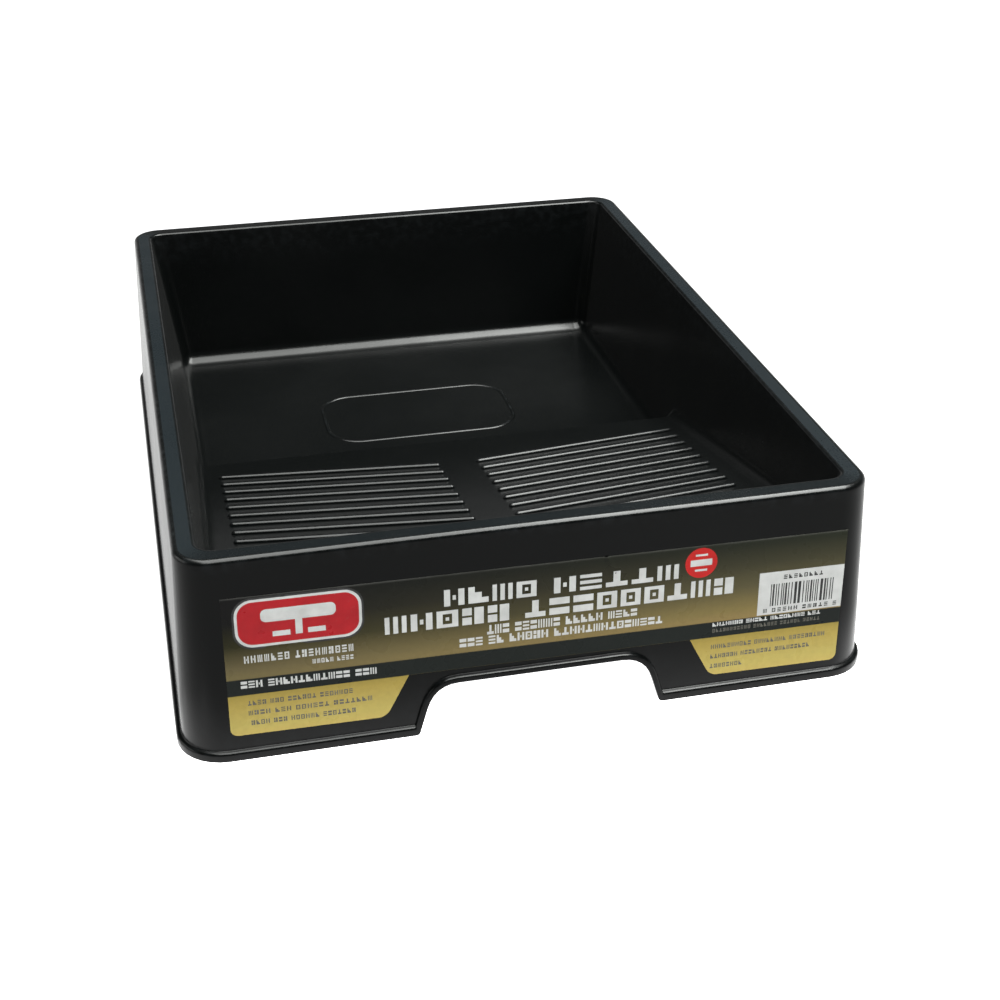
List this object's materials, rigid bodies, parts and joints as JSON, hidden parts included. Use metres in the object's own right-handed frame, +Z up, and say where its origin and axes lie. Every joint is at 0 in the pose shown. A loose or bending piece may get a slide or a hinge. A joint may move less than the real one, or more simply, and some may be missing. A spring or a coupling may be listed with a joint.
{
  "type": "paint roller tray",
  "caption": "Wide floor tray for paint rollers: deep well, ribbed ramp, flat rim, skirt with a front notch, printed label.",
  "frame": {"origin": "centre of the base, on the surface that the tray stands on", "axes": "+Z up, +Y along the tray towards the deep well, +X to the right seen from the labelled front"},
  "size_m": [0.3442, 0.4602, 0.104],
  "materials": {
    "tray_plastic": "semi-gloss black moulded polypropylene, fine texture on the rim",
    "label_film": "printed glossy film, black fading to gold"
  },
  "bodies": {
    "root": {"tray_body": "tray_plastic", "front_label": "label_film"}
  },
  "joints": []
}
